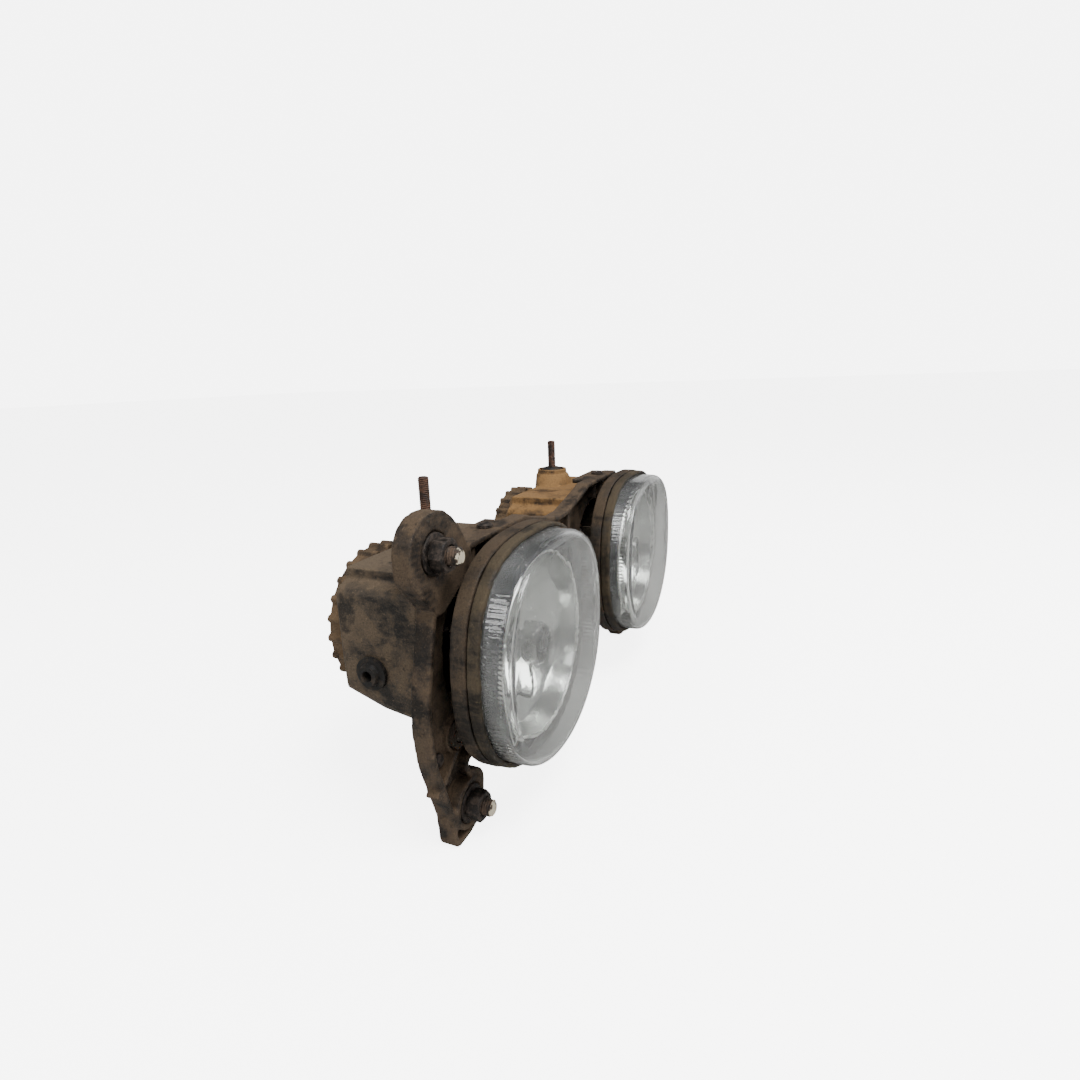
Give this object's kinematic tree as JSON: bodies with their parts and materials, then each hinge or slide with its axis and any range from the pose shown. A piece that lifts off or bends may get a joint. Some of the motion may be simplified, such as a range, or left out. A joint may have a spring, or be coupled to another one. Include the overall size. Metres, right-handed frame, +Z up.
{
  "type": "fog light",
  "caption": "Twin front fog lamp: two oval glass-fronted tilting lamp units with rear housings and screw caps on one moulded carrier with bolted ears.",
  "frame": {"origin": "midway between the two lens centres, in the plane of the mounting ears' front faces", "axes": "+X to the right when facing the lenses, along the row of lamps; +Y backwards, away from the beam; +Z up. Left and right in the nodes' names are those of a person who faces the lenses"},
  "size_m": [0.3304, 0.1142, 0.1628],
  "materials": {
    "dusty_plastic": "moulded black plastic under brown road dust",
    "clear_glass": "clear moulded glass, lightly dirty",
    "bulb_glass": "clear quartz",
    "reflector_coating": "aluminised, slightly dull",
    "shield_chrome": "bright plated sheet",
    "zinc_steel": "zinc plated, dulled",
    "rusty_steel": "rusted and dusty",
    "black_rubber": "matt, dusty",
    "nylon": "natural nylon"
  },
  "bodies": {
    "carrier": {"carrier_frame": "dusty_plastic", "mounting_bolt_upper_left": "rusty_steel", "mounting_bolt_lower_left": "rusty_steel", "mounting_bolt_upper_right": "rusty_steel", "mounting_bolt_lower_right": "rusty_steel", "mounting_washer_upper_left": "rusty_steel", "mounting_washer_lower_left": "rusty_steel", "mounting_washer_upper_right": "rusty_steel", "mounting_washer_lower_right": "rusty_steel", "mounting_nut_upper_left": "rusty_steel", "mounting_nut_lower_left": "rusty_steel", "mounting_nut_upper_right": "rusty_steel", "mounting_nut_lower_right": "rusty_steel", "pivot_socket_left_outer": "nylon", "pivot_socket_left_inner": "nylon", "pivot_socket_right_outer": "nylon", "pivot_socket_right_inner": "nylon", "housing_screw_left_outer": "rusty_steel", "housing_screw_left_inner": "rusty_steel", "housing_screw_right_outer": "rusty_steel", "housing_screw_right_inner": "rusty_steel", "rear_housing_left": "dusty_plastic", "cable_grommet_left": "black_rubber", "spindle_bush_left": "black_rubber", "tab_screw_left": "rusty_steel", "rear_housing_right": "dusty_plastic", "cable_grommet_right": "black_rubber", "spindle_bush_right": "black_rubber", "tab_screw_right": "rusty_steel"},
    "lamp_left": {"lens_left": "clear_glass", "lens_seal_left": "black_rubber", "lens_ring_left": "dusty_plastic", "reflector_left": "reflector_coating", "glare_shield_left": "shield_chrome", "bulb_left": "bulb_glass", "bulb_base_left": "zinc_steel"},
    "clip_left": {"bulb_clip_left": "zinc_steel"},
    "spindle_left": {"aim_spindle_left": "rusty_steel", "spindle_collar_left": "zinc_steel"},
    "nut_left": {"aim_nut_left": "nylon"},
    "cap_seal_left": {"cap_seal_left": "black_rubber"},
    "cap_left": {"rear_cap_left": "dusty_plastic"},
    "lamp_right": {"lens_right": "clear_glass", "lens_seal_right": "black_rubber", "lens_ring_right": "dusty_plastic", "reflector_right": "reflector_coating", "glare_shield_right": "shield_chrome", "bulb_right": "bulb_glass", "bulb_base_right": "zinc_steel"},
    "clip_right": {"bulb_clip_right": "zinc_steel"},
    "spindle_right": {"aim_spindle_right": "rusty_steel", "spindle_collar_right": "zinc_steel"},
    "nut_right": {"aim_nut_right": "nylon"},
    "cap_seal_right": {"cap_seal_right": "black_rubber"},
    "cap_right": {"rear_cap_right": "dusty_plastic"}
  },
  "joints": [
    {"name": "aim_spindle_turn_left", "type": "hinge", "parent": "carrier", "child": "spindle_left", "pos_m": [-0.0745, 0.0474, 0.05], "axis": [0, 0, 1], "range_deg": [-820, 820]},
    {"name": "lamp_tilt_left", "type": "hinge", "parent": "carrier", "child": "lamp_left", "pos_m": [-0.085, 0.004, -0.0303], "axis": [1, 0, 0], "range_deg": [-3, 3]},
    {"name": "aim_nut_travel_left", "type": "slide", "parent": "carrier", "child": "nut_left", "axis": [0, 0, 1], "range_m": [-0.00228, 0.00228]},
    {"name": "bulb_clip_swing_left", "type": "hinge", "parent": "lamp_left", "child": "clip_left", "pos_m": [-0.085, 0.019, 0.015], "axis": [1, 0, 0], "range_deg": [0, 70]},
    {"name": "cap_travel_left", "type": "slide", "parent": "carrier", "child": "cap_seal_left", "axis": [0, 1, 0], "range_m": [0, 0.00601]},
    {"name": "cap_turn_left", "type": "hinge", "parent": "cap_seal_left", "child": "cap_left", "pos_m": [-0.085, 0.0645, 0.0045], "axis": [0, 1, 0], "range_deg": [0, 360]},
    {"name": "aim_spindle_turn_right", "type": "hinge", "parent": "carrier", "child": "spindle_right", "pos_m": [0.0955, 0.0474, 0.05], "axis": [0, 0, 1], "range_deg": [-820, 820]},
    {"name": "lamp_tilt_right", "type": "hinge", "parent": "carrier", "child": "lamp_right", "pos_m": [0.085, 0.004, -0.0303], "axis": [1, 0, 0], "range_deg": [-3, 3]},
    {"name": "aim_nut_travel_right", "type": "slide", "parent": "carrier", "child": "nut_right", "axis": [0, 0, 1], "range_m": [-0.00228, 0.00228]},
    {"name": "bulb_clip_swing_right", "type": "hinge", "parent": "lamp_right", "child": "clip_right", "pos_m": [0.085, 0.019, 0.015], "axis": [1, 0, 0], "range_deg": [0, 70]},
    {"name": "cap_travel_right", "type": "slide", "parent": "carrier", "child": "cap_seal_right", "axis": [0, 1, 0], "range_m": [0, 0.00601]},
    {"name": "cap_turn_right", "type": "hinge", "parent": "cap_seal_right", "child": "cap_right", "pos_m": [0.085, 0.0645, 0.0045], "axis": [0, 1, 0], "range_deg": [0, 360]}
  ],
  "couplings": [
    {"joint": "aim_spindle_turn_left", "follows": "lamp_tilt_left", "ratio": -272.69},
    {"joint": "aim_nut_travel_left", "follows": "lamp_tilt_left", "m_per_rad": 0.0434},
    {"joint": "cap_travel_left", "follows": "cap_turn_left", "m_per_rad": 0.00095493},
    {"joint": "aim_spindle_turn_right", "follows": "lamp_tilt_right", "ratio": -272.69},
    {"joint": "aim_nut_travel_right", "follows": "lamp_tilt_right", "m_per_rad": 0.0434},
    {"joint": "cap_travel_right", "follows": "cap_turn_right", "m_per_rad": 0.00095493}
  ]
}
